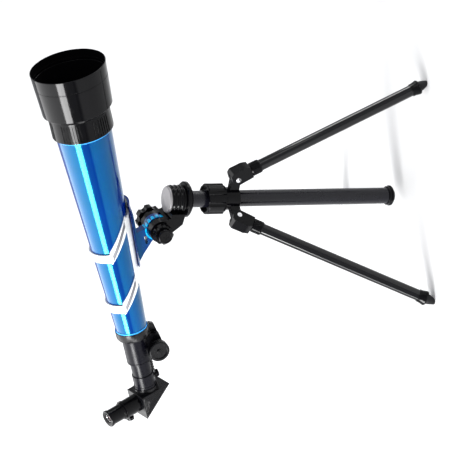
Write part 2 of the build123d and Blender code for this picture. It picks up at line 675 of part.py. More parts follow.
def lens_cell():
    """Knurled ring that carries the objective, plugged into the tube's front."""
    plug_rear = TUBE_FRONT - CELL_SPIGOT
    plug_r = tube_r(plug_rear) - TUBE_WALL - SEAT
    plug_front_r = tube_r(TUBE_FRONT) - TUBE_WALL - SEAT
    pocket = LENS_R + SEAT
    nose = CELL_FRONT + CELL_NOSE
    body = turned_x([(plug_rear, CELL_BORE_R), (plug_rear, plug_r), (TUBE_FRONT, plug_front_r),
                     (TUBE_FRONT, CELL_R - CELL_CHAMFER), (TUBE_FRONT + CELL_CHAMFER, CELL_R),
                     (CELL_FRONT, CELL_R), (CELL_FRONT, CELL_NOSE_R), (nose, CELL_NOSE_R), (nose, pocket),
                     (LENS_REAR, pocket), (LENS_REAR, CELL_BORE_R)])
    middle = (TUBE_FRONT + CELL_FRONT) / 2
    length = CELL_LENGTH - 2 * CELL_GROOVE_END
    groove = Pos(middle, 0, CELL_R) * Box(length, CELL_GROOVE, 2 * CELL_GROOVE_DEPTH)
    cuts = []
    for group in range(CELL_GROUPS):
        for line in range(CELL_GROOVES):
            turn = group * 360.0 / CELL_GROUPS + (line - (CELL_GROOVES - 1) / 2) * CELL_GROOVE_STEP
            cuts.append(Rot(CELL_GROUP_TURN + turn, 0, 0) * groove)
    return body - cuts


def objective_lens():
    """Plano-convex objective with a flat rim."""
    return rod_x(LENS_REAR, DOME_X + DOME_R, LENS_R) & Pos(DOME_X, 0, 0) * Sphere(DOME_R)


def lens_retainer():
    """Threaded ring that holds the objective in its cell, resting on the lens at its bore."""
    rear = DOME_X + sqrt(DOME_R ** 2 - RETAINER_BORE_R ** 2) + SEAT
    return pipe_x(rear, rear + RETAINER_THICK, LENS_R, RETAINER_BORE_R)


def shield_r(x):
    """Outer radius of the dew shield at a place along the axis."""
    return SHIELD_REAR_R + (x - CELL_FRONT) * (SHIELD_FRONT_R - SHIELD_REAR_R) / SHIELD_LENGTH


def dew_shield():
    """Flared hood: a back wall on the cell's nose, a bevelled shoulder, and a stepped mouth."""
    seat = SHIELD_FRONT - CAP_SEAT_LENGTH
    wall = CELL_FRONT + SHIELD_BACK
    hole = CELL_NOSE_R + SEAT
    shoulder = CELL_FRONT + SHIELD_SHOULDER
    inner_shoulder = wall + SHIELD_SHOULDER - SHIELD_WALL
    outside = [(CELL_FRONT, hole), (CELL_FRONT, SHIELD_REAR_R - SHIELD_SHOULDER),
               (shoulder, shield_r(shoulder)), (SHIELD_FRONT, SHIELD_FRONT_R)]
    inside = [(SHIELD_FRONT, CAP_SEAT_R), (seat, CAP_SEAT_R), (seat, CAP_SEAT_R - SHIELD_STEP),
              (inner_shoulder, shield_r(inner_shoulder) - SHIELD_WALL - SHIELD_STEP),
              (wall, SHIELD_REAR_R - SHIELD_SHOULDER - SHIELD_WALL / 2), (wall, hole)]
    body = turned_x(outside + inside)
    line = SHIELD_FRONT - SHIELD_LINE
    groove = pipe_x(line, line + SHIELD_LINE_WIDTH, BIG, shield_r(line) - SHIELD_LINE_DEPTH)
    return body - groove


# ---- Rear cap and focuser, built about the optical axis ----
def rack_way():
    """Channel that the rack runs in."""
    half = RACK_WIDTH / 2 + FREE
    return block((-BIG, BIG), (-half, half), (PITCH_R - PINION_DROP - GEAR_ADDENDUM - FREE, 0))


def rear_cap():
    """Cap on the tube's rear end with a plug inside and a bore for the focuser."""
    plug_rear_r = tube_r(TUBE_REAR) - TUBE_WALL - SEAT
    bore = FOCUSER_R + SEAT
    cut = REAR_CAP_ROUND
    body = turned_x([(CAP_REAR, bore), (CAP_REAR, REAR_CAP_R - cut),
                     (CAP_REAR + 0.3 * cut, REAR_CAP_R - 0.3 * cut), (CAP_REAR + cut, REAR_CAP_R),
                     (TUBE_REAR, REAR_CAP_R), (TUBE_REAR, plug_rear_r),
                     (TUBE_REAR + REAR_CAP_SPIGOT, plug_rear_r), (TUBE_REAR + REAR_CAP_SPIGOT, bore)])
    return body - rack_way()


def focuser_barrel():
    """Barrel that guides the draw tube, slotted below for the rack."""
    front = CAP_REAR + FOCUSER_SPIGOT
    body = pipe_x(FOCUSER_REAR, front, FOCUSER_R, DRAW_R + RUNNING)
    groove = pipe_x(FOCUSER_REAR + FOCUSER_RING, FOCUSER_REAR + FOCUSER_RING + 0.8, BIG, FOCUSER_R - 0.4)
    return body - rack_way() - groove


def draw_tube():
    """Sliding tube that carries the star diagonal."""
    return pipe_x(DRAW_REAR, FOCUSER_REAR + DRAW_INSIDE, DRAW_R, DRAW_BORE_R)


def tooth_points(base, tip, half_width):
    """Half widths of a straight-flanked tooth at its base and tip."""
    flank = radians(TOOTH_FLANK)
    slope = sin(flank) / cos(flank)
    return half_width + base * slope, half_width - tip * slope


def draw_rack():
    """Toothed rack along the underside of the draw tube."""
    pitch = pi * GEAR_MODULE
    base_half, tip_half = tooth_points(GEAR_DEDENDUM, GEAR_ADDENDUM, TOOTH_SHARE * pitch / 2)
    pitch_z = PITCH_R - PINION_DROP
    root = pitch_z + GEAR_DEDENDUM
    front = FOCUSER_REAR + DRAW_INSIDE - 1.0
    count = int((front - DRAW_REAR) / pitch) - 1
    first = PINION_X - (int((PINION_X - DRAW_REAR) / pitch) - 0.5) * pitch
    half = RACK_WIDTH / 2
    rack = block((DRAW_REAR, front), (-half, half), (root, -DRAW_R + 1.0))
    for i in range(count):
        x = first + i * pitch
        rack += slab_y([(x - base_half, root), (x - tip_half, pitch_z - GEAR_ADDENDUM),
                        (x + tip_half, pitch_z - GEAR_ADDENDUM), (x + base_half, root)], -half, half)
    return rack - rod_x(DRAW_REAR - 1.0, front + 1.0, DRAW_R)


# Focus shaft pieces, built about the pinion's axis
def pinion_gear():
    """Straight-flanked pinion that drives the rack."""
    pitch = pi * GEAR_MODULE
    root_r = PITCH_R - GEAR_DEDENDUM
    base_half, tip_half = tooth_points(GEAR_DEDENDUM, GEAR_ADDENDUM, TOOTH_SHARE * pitch / 2)
    half = GEAR_WIDTH / 2
    gear = rod_y(-half, half, root_r)
    tooth = slab_y([(-base_half, root_r - 0.5), (base_half, root_r - 0.5),
                    (tip_half, PITCH_R + GEAR_ADDENDUM),
                    (-tip_half, PITCH_R + GEAR_ADDENDUM)], -half, half)
    for i in range(GEAR_TEETH):
        gear += Rot(0, i * 360.0 / GEAR_TEETH, 0) * tooth
    return gear - rod_y(-BIG, BIG, SHAFT_R)


KNOB_IN = HOUSING_WIDTH / 2 + FOCUS_KNOB_GAP
KNOB_OUT = KNOB_IN + FOCUS_KNOB_THICK


def pinion_shaft():
    return rod_y(-KNOB_OUT + 2.0, KNOB_OUT - 2.0, SHAFT_R)


def focus_knob():
    """Knurled knob on the shaft's near end, facing -Y, with a dished face."""
    body = rod_y(-KNOB_OUT, -KNOB_IN, FOCUS_KNOB_R)
    body = chamfer(body.edges().group_by(Axis.Y)[0], 0.8)
    groove = Pos(0, 0, FOCUS_KNOB_R) * rod_y(-KNOB_OUT + 1.0, -KNOB_IN + 1.0, 0.5)
    body -= [Rot(0, i * 360.0 / FOCUS_KNOB_GROOVES, 0) * groove for i in range(FOCUS_KNOB_GROOVES)]
    body -= rod_y(-KNOB_OUT - 1.0, -KNOB_OUT + 1.2, FOCUS_KNOB_FACE_R) - rod_y(-BIG, BIG, 3.0)
    neck = rod_y(-KNOB_IN, -HOUSING_WIDTH / 2 - FREE, 4.0)
    return body + neck - rod_y(-KNOB_OUT + 2.0, 0, SHAFT_R)


def pinion_housing():
    """Gear box under the focuser, with a pointed fin towards the tube."""
    low = -PINION_DROP - PITCH_R - 2.6
    rear = PINION_X - PITCH_R - 3.4
    front = CAP_REAR - 2.0
    nose = front + HOUSING_FIN
    outer = slab_y([(rear, -DRAW_R + 3.0), (rear, low + 4.0), (rear + 4.0, low), (PINION_X + 6.0, low),
                    (nose - 3.0, -REAR_CAP_R - 6.0), (nose, -REAR_CAP_R - 1.2), (front, -REAR_CAP_R - 0.6),
                    (front, -DRAW_R + 3.0)], -HOUSING_WIDTH / 2, HOUSING_WIDTH / 2)
    fin_run = (front, nose + 1.0)
    fin_sides = block(fin_run, (2.5, BIG), (-BIG, BIG)) + block(fin_run, (-BIG, -2.5), (-BIG, BIG))
    well = Pos(PINION_X, 0, -PINION_DROP) * rod_y(-GEAR_WIDTH / 2 - FREE, GEAR_WIDTH / 2 + FREE,
                                                 PITCH_R + GEAR_ADDENDUM + 0.5)
    bore = Pos(PINION_X, 0, -PINION_DROP) * rod_y(-BIG, BIG, SHAFT_R + RUNNING)
    guide = rod_x(-BIG, BIG, FOCUSER_R + SEAT)
    return outer - fin_sides - well - rack_way() - bore - guide


# ---- Star diagonal and eyepiece ----
def draw_collar():
    """Stepped collar on the draw tube's end that clamps the diagonal's nose."""
    step = DRAW_REAR + 3.0
    inner = NOSE_R + RUNNING
    ring = turned_x([(COLLAR_OUT_REAR, inner), (COLLAR_OUT_REAR, COLLAR_OUT_R + 0.5),
                     (COLLAR_OUT_REAR + 2.5, COLLAR_OUT_R + 0.5), (COLLAR_OUT_REAR + 2.5, COLLAR_OUT_R),
                     (step, COLLAR_OUT_R), (step, DRAW_R + SEAT), (DRAW_REAR, DRAW_R + SEAT),
                     (DRAW_REAR, inner)])
    half = RACK_WIDTH / 2 + SEAT
    rack_notch = block((DRAW_REAR, step + 1.0), (-half, half), (-BIG, -DRAW_R + 2.0))
    return ring - rack_notch - Pos(SCREW_X, 0, 0) * rod_z(-BIG, 0, THUMB_R + RUNNING)


SCREW_X = DRAW_REAR - COLLAR_SCREW_BACK


def thumbscrew(tip, seat):
    """Screw along Z from its tip down to a ribbed head below its seat."""
    head_top = -(seat + THUMB_NECK)
    head_low = head_top - THUMB_HEAD
    shank = rod_z(head_top, -tip, THUMB_R)
    head = fillet(rod_z(head_low, head_top, THUMB_HEAD_R).edges().sort_by(Axis.Z)[0], 0.8)
    groove = Pos(0, 0, (head_low + head_top) / 2) * Cylinder(0.45, THUMB_HEAD - 1.0)
    return shank + head - around_z(THUMB_GROOVES, THUMB_HEAD_R, groove)


def diagonal_screw():
    """Thumbscrew below the draw tube's collar."""
    return Pos(SCREW_X, 0, 0) * thumbscrew(NOSE_R + FREE / 3, COLLAR_OUT_R)


def prism_outline(inset):
    """Triangle of the diagonal's housing, its walls moved in by an inset."""
    rear = PRISM_FRONT - PRISM_DEPTH
    face = make_face(Polyline((PRISM_FRONT, PRISM_TOP), (rear, PRISM_TOP), (PRISM_FRONT, -PRISM_BOTTOM),
                              close=True))
    if inset:
        face = offset(face, amount=-inset, kind=Kind.INTERSECTION)
    return Plane.XZ * face


def diagonal_body():
    """Hollow wedge-shaped housing with its flange and the nose that enters the draw tube."""
    half = PRISM_WIDTH / 2
    shell = extrude(prism_outline(0), amount=half, both=True)
    cavity = extrude(prism_outline(PRISM_WALL), amount=half - PRISM_WALL, both=True)
    flange = rod_x(PRISM_FRONT, DIAGONAL_FRONT, DIAGONAL_FLANGE_R)
    nose = rod_x(DIAGONAL_FRONT, DIAGONAL_FRONT + NOSE_LENGTH, NOSE_R)
    way_in = rod_x(PRISM_FRONT - PRISM_WALL - 1.0, DIAGONAL_FRONT + NOSE_LENGTH + 1.0, NOSE_R - 1.3)
    way_out = Pos(EYE_X, 0, 0) * rod_z(PRISM_TOP - PRISM_WALL - 1.0, PRISM_TOP + 1.0, EYEPIECE_BORE_R)
    height = PRISM_TOP + PRISM_BOTTOM
    inner_radius = (PRISM_DEPTH + height - hypot(PRISM_DEPTH, height)) / 2
    ribs = []
    for i in range(int((inner_radius - PRISM_RIB_WIDTH) / PRISM_RIB_STEP)):
        inset = PRISM_RIB_STEP * (i + 0.5)
        outer = extrude(prism_outline(inset), amount=PRISM_RIB_DEPTH)
        ribs.append(outer - extrude(prism_outline(inset + PRISM_RIB_WIDTH), amount=PRISM_RIB_DEPTH))
    near = [Pos(0, -half + PRISM_RIB_DEPTH, 0) * rib for rib in ribs]
    far = [Pos(0, half, 0) * rib for rib in ribs]
    return shell - cavity + flange + nose - way_in - way_out - near - far


def diagonal_mirror():
    """Flat mirror that turns the light up into the eyepiece."""
    plate = Box(MIRROR_LENGTH, MIRROR_WIDTH, MIRROR_THICK)
    return Pos(EYE_X, 0, 0) * Rot(0, 45, 0) * Pos(0, 0, -MIRROR_THICK / 2) * plate


def eyepiece_holder():
    """Tube on the diagonal that the eyepiece slides in, with a ring at its mouth."""
    top = PRISM_TOP + HOLDER_HEIGHT
    ring = top - HOLDER_RING
    bore = EYEPIECE_R + RUNNING
    body = turned_z([(bore, PRISM_TOP), (HOLDER_R, PRISM_TOP), (HOLDER_R, ring), (HOLDER_RING_R, ring),
                     (HOLDER_RING_R, top), (bore, top)])
    return Pos(EYE_X, 0, 0) * (body - Pos(0, 0, SCREW_Z) * rod_x(-BIG, 0, THUMB_R + RUNNING))


SCREW_Z = PRISM_TOP + 0.62 * HOLDER_HEIGHT


def eyepiece_screw():
    """Thumbscrew on the rear side of the eyepiece holder."""
    return Pos(EYE_X, 0, SCREW_Z) * Rot(0, 90, 0) * thumbscrew(EYEPIECE_R + FREE / 3, HOLDER_R)


EYEPIECE_TOP = EYEPIECE_BASE + EYEPIECE_HEIGHT
EYEPIECE_LOW = EYEPIECE_BASE - EYEPIECE_DEPTH


def eyepiece_barrel():
    """Eyepiece body with a shoulder that rests on the holder."""
    shoulder = EYEPIECE_BASE + EYEPIECE_SHOULDER
    cup = EYEPIECE_TOP - EYE_CUP
    body = turned_z([(EYEPIECE_BORE_R, EYEPIECE_LOW), (EYEPIECE_R, EYEPIECE_LOW),
                     (EYEPIECE_R, EYEPIECE_BASE), (EYEPIECE_SHOULDER_R, EYEPIECE_BASE),
                     (EYEPIECE_SHOULDER_R, shoulder), (EYEPIECE_R, shoulder), (EYEPIECE_R, cup),
                     (EYEPIECE_BORE_R, cup)])
    return Pos(EYE_X, 0, 0) * body


def eyepiece_cup():
    """Ring round the eye lens."""
    cup = EYEPIECE_TOP - EYE_CUP
    body = turned_z([(EYE_HOLE_R, cup), (EYE_CUP_R, cup), (EYE_CUP_R, EYEPIECE_TOP - 0.6),
                     (EYE_CUP_R - 0.6, EYEPIECE_TOP), (EYE_CUP_R - 1.6, EYEPIECE_TOP),
                     (EYE_HOLE_R, cup + 1.6)])
    return Pos(EYE_X, 0, 0) * body


def eye_lens():
    top = EYEPIECE_TOP - EYE_CUP
    return Pos(EYE_X, 0, 0) * rod_z(top - LENS_THIN, top, EYEPIECE_BORE_R - SEAT)


def field_lens():
    return Pos(EYE_X, 0, 0) * rod_z(EYEPIECE_LOW + 1.0, EYEPIECE_LOW + 1.0 + LENS_THIN,
                                    EYEPIECE_BORE_R - SEAT)


# ---- Cradle and bracket, built about the optical axis ----
def arm_outline(top, foot, width, overlap):
    """Side outline of a hoop's slanted arm, from the bend down to the rail."""
    bend = HOOP_BEND * tube_r(TUBE_REAR + top) + overlap
    end = -RAIL_EDGE * tube_r(TUBE_REAR + foot) - overlap
    lean = (foot - top) / (bend - end)
    half = width / 2 * hypot(1.0, lean)
    low_x = TUBE_REAR + foot
    high_x = TUBE_REAR + top
    return [(high_x - half, bend), (low_x - half, end), (low_x + half, end), (high_x + half, bend)]


def hoop_outline(top):
    """Side outline of a hoop's upright band over the tube."""
    bend = HOOP_BEND * tube_r(TUBE_REAR + top)
    half = HOOP_WIDTH / 2
    middle = TUBE_REAR + top
    return [(middle - half, bend - 1.0), (middle + half, bend - 1.0), (middle + half, BIG / 4),
            (middle - half, BIG / 4)]


def rail_outline():
    """Side outline of the rail under the tube."""
    rear = TUBE_REAR + HOOP_REAR_FOOT - HOOP_WIDTH / 2
    front = TUBE_REAR + HOOP_FRONT_FOOT + HOOP_WIDTH / 2
    return [(rear, -RAIL_EDGE * tube_r(rear)), (rear, -BIG / 4), (front, -BIG / 4),
            (front, -RAIL_EDGE * tube_r(front))]


HOOPS = ((HOOP_REAR_TOP, HOOP_REAR_FOOT), (HOOP_FRONT_TOP, HOOP_FRONT_FOOT))


def inlay_shapes():
    """Slanted strips where the grey inlays lie, as slabs across the tube."""
    return [slab_y(arm_outline(top, foot, INLAY_WIDTH, -INLAY_END), -BIG, BIG) for top, foot in HOOPS]


def cradle_frame():
    """Two hoops over the tube joined by a rail underneath."""
    skin = tube_skin(TUBE_REAR, TUBE_FRONT - LIP_WIDTH, CRADLE_GAP, CRADLE_THICK)
    sides = slab_y(rail_outline(), -BIG, BIG)
    for top, foot in HOOPS:
        sides += slab_y(hoop_outline(top), -BIG, BIG)
        sides += slab_y(arm_outline(top, foot, ARM_WIDTH, 1.0), -BIG, BIG)
    frame = skin & sides
    recess = tube_skin(TUBE_REAR, TUBE_FRONT, CRADLE_THICK - INLAY_DEPTH, CRADLE_THICK + 1.0)
    for strip in inlay_shapes():
        frame -= recess & strip
    return frame


def cradle_inlays():
    """Grey strips set in the hoops' slanted arms, left and right."""
    skin = tube_skin(TUBE_REAR, TUBE_FRONT, CRADLE_THICK - INLAY_DEPTH, CRADLE_THICK + INLAY_PROUD)
    pieces = []
    for strip in inlay_shapes():
        pieces += list((skin & strip).solids())
    return Compound(children=pieces)


# Bracket pieces, built about the altitude axle
def saddle_place(x):
    """Height above the axle of the saddle's underside at a place along the tube."""
    return TUBE_RISE - tube_r(x) - CRADLE_THICK - SADDLE_THICK


def bracket_web():
    """Web under the saddle, cut away in front of the barrel to clear the star knob, with a window."""
    rear = TUBE_REAR + SADDLE_REAR
    front = TUBE_REAR + SADDLE_FRONT
    half = WEB_THICK / 2
    middle = (BARREL_NEAR + BARREL_FAR) / 2
    outline = [(rear + WEB_END, saddle_place(rear) + WEB_OVERLAP),
               (rear + WEB_REAR_RUN, saddle_place(rear) - WEB_REAR_DROP),
               (-BARREL_R * cos(radians(WEB_REAR_TURN)), BARREL_R * sin(radians(WEB_REAR_TURN))),
               (BARREL_R * cos(radians(WEB_FRONT_TURN)), BARREL_R * sin(radians(WEB_FRONT_TURN))),
               (WEB_NOTCH_X, saddle_place(WEB_NOTCH_X) - WEB_NOTCH_DROP),
               (WEB_NOTCH_FRONT, saddle_place(WEB_NOTCH_FRONT) - WEB_LIP),
               (front - WEB_FRONT_RUN, saddle_place(front) + WEB_OVERLAP)]
    window = block((WEB_WINDOW_X - WEB_WINDOW_LENGTH, WEB_WINDOW_X), (-BIG, BIG),
                   (WEB_WINDOW_Z - WEB_WINDOW_R, WEB_WINDOW_Z + WEB_WINDOW_R))
    for end in (WEB_WINDOW_X - WEB_WINDOW_LENGTH, WEB_WINDOW_X):
        window += Pos(end, 0, WEB_WINDOW_Z) * rod_y(-BIG, BIG, WEB_WINDOW_R)
    return slab_y(outline, middle - half, middle + half) - window


def cradle_bracket():
    """Saddle under the rail, the web, and the toothed barrel on the axle."""
    rear = TUBE_REAR + SADDLE_REAR
    front = TUBE_REAR + SADDLE_FRONT
    skin = tube_skin(rear, front, CRADLE_THICK + SEAT, CRADLE_THICK + SADDLE_THICK)
    band = slab_y([(rear, -SADDLE_EDGE * tube_r(rear)), (rear, -BIG / 4), (front, -BIG / 4),
                   (front, -SADDLE_EDGE * tube_r(front))], -BIG, BIG)
    saddle = Pos(0, 0, TUBE_RISE) * (skin & band)
    barrel = rod_y(BARREL_NEAR, BARREL_FAR, BARREL_R)
    notch = Pos(0, 0, TEETH_R) * rod_y(-BIG, BIG, TEETH_NOTCH_R)
    teeth = rod_y(BARREL_NEAR, BARREL_NEAR + TEETH_WIDTH, TEETH_R)
    teeth -= [Rot(0, i * 360.0 / TEETH, 0) * notch for i in range(TEETH)]
    bore = rod_y(-BIG, BIG, AXLE_R + RUNNING)
    return saddle + bracket_web() + barrel + teeth - bore


def parts():
    """Every node by name."""
    nodes = {
        "tripod_hub": on_column(tripod_hub()),
        "column_collet": on_column(column_collet()),
        "column_lock_nut": on_column(column_lock_nut()),
        "column_tube": on_column(column_tube()),
        "column_cap": on_column(column_cap()),
        "pan_base": on_column(pan_base()),
        "pan_washer": on_column(pan_washer()),
        "pan_screw": on_column(pan_screw()),
        "head_body": on_column(head_body()),
        "head_lid": on_column(head_lid()),
        "altitude_axle": on_hinge(altitude_axle()),
        "star_knob": on_hinge(star_knob()),
        "round_knob": on_hinge(round_knob()),
        "round_knob_cap": on_hinge(round_knob_cap()),
        "cradle_bracket": on_scope(cradle_bracket()),
        "cradle_frame": on_axis(cradle_frame()),
        "cradle_inlays": on_axis(cradle_inlays()),
        "main_tube": on_axis(main_tube()),
        "tube_baffle": on_axis(tube_baffle()),
        "lens_cell": on_axis(lens_cell()),
        "objective_lens": on_axis(objective_lens()),
        "lens_retainer": on_axis(lens_retainer()),
        "dew_shield": on_axis(dew_shield()),
        "rear_cap": on_axis(rear_cap()),
        "focuser_barrel": on_axis(focuser_barrel()),
        "pinion_housing": on_axis(pinion_housing()),
        "draw_tube": on_axis(draw_tube()),
        "draw_rack": on_axis(draw_rack()),
        "draw_collar": on_axis(draw_collar()),
        "diagonal_screw": on_axis(diagonal_screw()),
        "diagonal_body": on_diagonal(diagonal_body()),
        "diagonal_mirror": on_diagonal(diagonal_mirror()),
        "eyepiece_holder": on_diagonal(eyepiece_holder()),
        "eyepiece_screw": on_diagonal(eyepiece_screw()),
        "eyepiece_barrel": on_diagonal(eyepiece_barrel()),
        "eyepiece_cup": on_diagonal(eyepiece_cup()),
        "eye_lens": on_diagonal(eye_lens()),
        "field_lens": on_diagonal(field_lens()),
    }
    pinion = Pos(PINION_X, 0, -PINION_DROP)
    nodes["pinion_gear"] = on_axis(pinion * pinion_gear())
    nodes["pinion_shaft"] = on_axis(pinion * pinion_shaft())
    nodes["focus_knob_near"] = on_axis(pinion * focus_knob())
    nodes["focus_knob_far"] = on_axis(pinion * Rot(0, 0, 180) * focus_knob())
    for number, azimuth in enumerate(LEG_AZIMUTHS, 1):
        nodes[f"leg_{number}_knuckle"] = on_leg(leg_knuckle(), azimuth)
        nodes[f"leg_{number}_pin"] = on_leg(leg_pin(), azimuth)
        nodes[f"leg_{number}_collar"] = on_leg(leg_collar(), azimuth)
        nodes[f"leg_{number}_tube"] = on_leg(leg_tube(), azimuth)
        nodes[f"leg_{number}_ferrule"] = on_leg(leg_ferrule(), azimuth)
        nodes[f"leg_{number}_tip"] = leg_tip(azimuth)
    return nodes


if __name__ == "__main__":
    os.makedirs("parts", exist_ok=True)
    for name, shape in parts().items():
        export_step(shape, f"parts/{name}.step")
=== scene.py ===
"""Looks of the children's telescope on its folding table tripod. Lengths are in metres."""
import json
from math import cos, pi, radians, sin

import bpy
from mathutils import Matrix, Vector


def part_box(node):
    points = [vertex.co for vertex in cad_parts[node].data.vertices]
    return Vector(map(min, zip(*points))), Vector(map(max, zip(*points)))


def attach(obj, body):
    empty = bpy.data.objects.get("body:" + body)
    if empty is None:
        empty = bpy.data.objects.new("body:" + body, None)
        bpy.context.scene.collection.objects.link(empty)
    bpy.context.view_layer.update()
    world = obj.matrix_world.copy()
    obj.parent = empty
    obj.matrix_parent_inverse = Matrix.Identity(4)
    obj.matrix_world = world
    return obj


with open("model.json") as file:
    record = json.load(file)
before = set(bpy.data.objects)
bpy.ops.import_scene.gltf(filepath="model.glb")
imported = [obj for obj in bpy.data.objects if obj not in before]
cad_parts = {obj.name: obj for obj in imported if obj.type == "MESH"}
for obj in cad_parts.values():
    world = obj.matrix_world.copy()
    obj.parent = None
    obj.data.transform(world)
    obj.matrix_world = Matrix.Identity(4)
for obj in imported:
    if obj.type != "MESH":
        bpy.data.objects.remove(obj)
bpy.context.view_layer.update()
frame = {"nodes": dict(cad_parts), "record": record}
NODES = frame["nodes"]

MM = 0.001

# ---- Camera, about the tripod column ----
VIEW_TARGET = Vector((0.0492, -0.0057, 0.240))
VIEW_AZIMUTH = radians(23.66)
VIEW_ELEVATION = radians(23.36)
VIEW_ROLL = radians(-1.36)
VIEW_DISTANCE = 2.434
VIEW_RIGHT = -0.02775         # camera beside and below the line to its target
VIEW_UP = -0.02588
LENS = 182.87

# ---- Telescope's axes at rest ----
ALTITUDE = radians(20.0)
ALONG = Vector((cos(ALTITUDE), 0.0, sin(ALTITUDE)))
ABOVE = Vector((-sin(ALTITUDE), 0.0, cos(ALTITUDE)))
HINGE = Vector((0.0192, -0.0057, 0.2874))
COLUMN = Vector((0.0492, -0.0057, 0.0))
TUBE_RISE = 52.0 * MM         # optical axis above the hinge

# ---- Places along the optical axis from the hinge, and radii ----
LIP_REAR = -105.5 * MM
LIP_FRONT = 133.5 * MM
SHIELD_BACK = 164.0 * MM
SHIELD_SLOPE = 2.9 / 50.5
SHIELD_SKIN = 26.9 * MM       # between the inner and outer faces, carried back to the hinge
RIM_INSIDE = 12.4 * MM        # toothed ring round the hinge, the band given a painted highlight
RIM_OUTSIDE = 13.9 * MM

# ---- Bright ring round the eye lens ----
EYE_ROLL = radians(15.0)
EYE_AXIS = ABOVE * cos(EYE_ROLL) - Vector((0.0, sin(EYE_ROLL), 0.0))
EYE_RING_RISE = 1.4 * MM
EYE_RING_R = 4.6 * MM
EYE_RING_WIDTH = 0.35 * MM
RING_TURNS = 64
RING_STEPS = 12

# ---- Patterns and masks ----
RIB_RATE = 2 * pi / (1.3 * MM)
RING_RATE = 2 * pi / (0.6 * MM)
PATTERN_DEPTH = 0.2 * MM
RING_DEPTH = 0.03 * MM
MASK_EDGE = 0.2 * MM          # how softly one colour meets the next
# painted highlight colour of the tube's lip at each end
LIP_HIGHLIGHT_BLUE = (0.05, 0.35, 0.9, 1.0)
RIB_SHADOW = (0.07, 0.07, 0.085, 1.0)
# painted highlight colour of the toothed ring round the hinge
RIM_HIGHLIGHT_CYAN = (0.0, 0.38, 0.75, 1.0)

# ---- Noise scales and depths of the surface's own unevenness ----
CLOUD_SCALE = 45.0
PATCH_SCALE = 110.0
SWELL_SCALE = 260.0
FINE_SCALE = 3200.0
RUBBED_SCALE = 2600.0
CHIP_SCALE = 600.0
FIBRE_SCALE = 900.0
SWELL_DEPTH = 0.4 * MM
FINE_DEPTH = 0.05 * MM
WEAR_RADIUS = 0.5 * MM

# ---- Scratch patterns, as noise scales along X, Y and Z ----
SCRATCHES = (900.0, 40.0, 320.0)
TUBE_HAIRLINES = (60.0, 900.0, 900.0)
LEG_HAIRLINES = (700.0, 700.0, 30.0)
COLUMN_HAIRLINES = (1500.0, 1500.0, 25.0)
TURNED_HAIRLINES = (1600.0, 60.0, 1600.0)
STREAK_TURN = (0.2, 0.5, 0.3)


# ---- Material helpers ----
def link(tree, source, target):
    tree.links.new(source, target)


def add(tree, kind, **values):
    """A node with its own settings, and with constants on its input sockets."""
    node = tree.nodes.new(kind)
    for name, value in values.items():
        if hasattr(node, name):
            setattr(node, name, value)
        else:
            node.inputs[name.replace("_", " ")].default_value = value
    return node


def coordinates(tree, scale=(1.0, 1.0, 1.0), turn=(0.0, 0.0, 0.0)):
    source = tree.nodes.new("ShaderNodeTexCoord")
    mapping = tree.nodes.new("ShaderNodeMapping")
    mapping.inputs["Scale"].default_value = scale
    mapping.inputs["Rotation"].default_value = turn
    link(tree, source.outputs["Object"], mapping.inputs["Vector"])
    return mapping.outputs["Vector"]


def noise(tree, vector, scale, detail=3.0, rough=0.5):
    node = add(tree, "ShaderNodeTexNoise", Scale=scale, Detail=detail, Roughness=rough)
    link(tree, vector, node.inputs["Vector"])
    return node.outputs["Fac"]


def between(tree, value, low, high, to_low, to_high):
    node = tree.nodes.new("ShaderNodeMapRange")
    ends = {"From Min": low, "From Max": high, "To Min": to_low, "To Max": to_high}
    for name, number in ends.items():
        node.inputs[name].default_value = number
    link(tree, value, node.inputs["Value"])
    return node.outputs["Result"]


def combine(tree, operation, first, second):
    node = tree.nodes.new("ShaderNodeMath")
    node.operation = operation
    for socket, value in zip(node.inputs, (first, second)):
        if isinstance(value, (int, float)):
            socket.default_value = value
        else:
            link(tree, value, socket)
    return node.outputs["Value"]


def mix_color(tree, share, first, second):
    node = tree.nodes.new("ShaderNodeMix")
    node.data_type = "RGBA"
    for index, value in ((0, share), (6, first), (7, second)):
        if isinstance(value, (int, float, tuple)):
            node.inputs[index].default_value = value
        else:
            link(tree, value, node.inputs[index])
    return node.outputs[2]


def distance_along(tree, origin, axis):
    """How far a point lies along an axis from the origin."""
    place = tree.nodes.new("ShaderNodeTexCoord")
    dot = tree.nodes.new("ShaderNodeVectorMath")
    dot.operation = "DOT_PRODUCT"
    link(tree, place.outputs["Object"], dot.inputs[0])
    dot.inputs[1].default_value = axis
    return combine(tree, "SUBTRACT", dot.outputs["Value"], origin.dot(axis))


def distance_from(tree, origin, axis):
    """How far a point lies from the line through the origin along the axis."""
    place = tree.nodes.new("ShaderNodeTexCoord")
    shift = tree.nodes.new("ShaderNodeVectorMath")
    shift.operation = "SUBTRACT"
    link(tree, place.outputs["Object"], shift.inputs[0])
    shift.inputs[1].default_value = origin
    cross = tree.nodes.new("ShaderNodeVectorMath")
    cross.operation = "CROSS_PRODUCT"
    link(tree, shift.outputs["Vector"], cross.inputs[0])
    cross.inputs[1].default_value = axis
    length = tree.nodes.new("ShaderNodeVectorMath")
    length.operation = "LENGTH"
    link(tree, cross.outputs["Vector"], length.inputs[0])
    return length.outputs["Value"]


def bumps(tree, layers):
    """Chain of bump nodes from (height, strength, depth) layers."""
    normal = None
    for height, strength, depth in layers:
        node = add(tree, "ShaderNodeBump", Strength=strength, Distance=depth)
        link(tree, height, node.inputs["Height"])
        if normal is not None:
            link(tree, normal, node.inputs["Normal"])
        normal = node.outputs["Normal"]
    return normal


def shade(color, factor):
    """A colour made lighter or darker, with its alpha."""
    return tuple(min(1.0, c * factor) for c in color) + (1.0,)


def start(name, **sockets):
    """A material with constants on its shader's own sockets."""
    material = bpy.data.materials.new(name)
    material.use_nodes = True
    tree = material.node_tree
    shader = tree.nodes["Principled BSDF"]
    for key, value in sockets.items():
        shader.inputs[key.replace("_", " ")].default_value = value
    return material, tree, shader


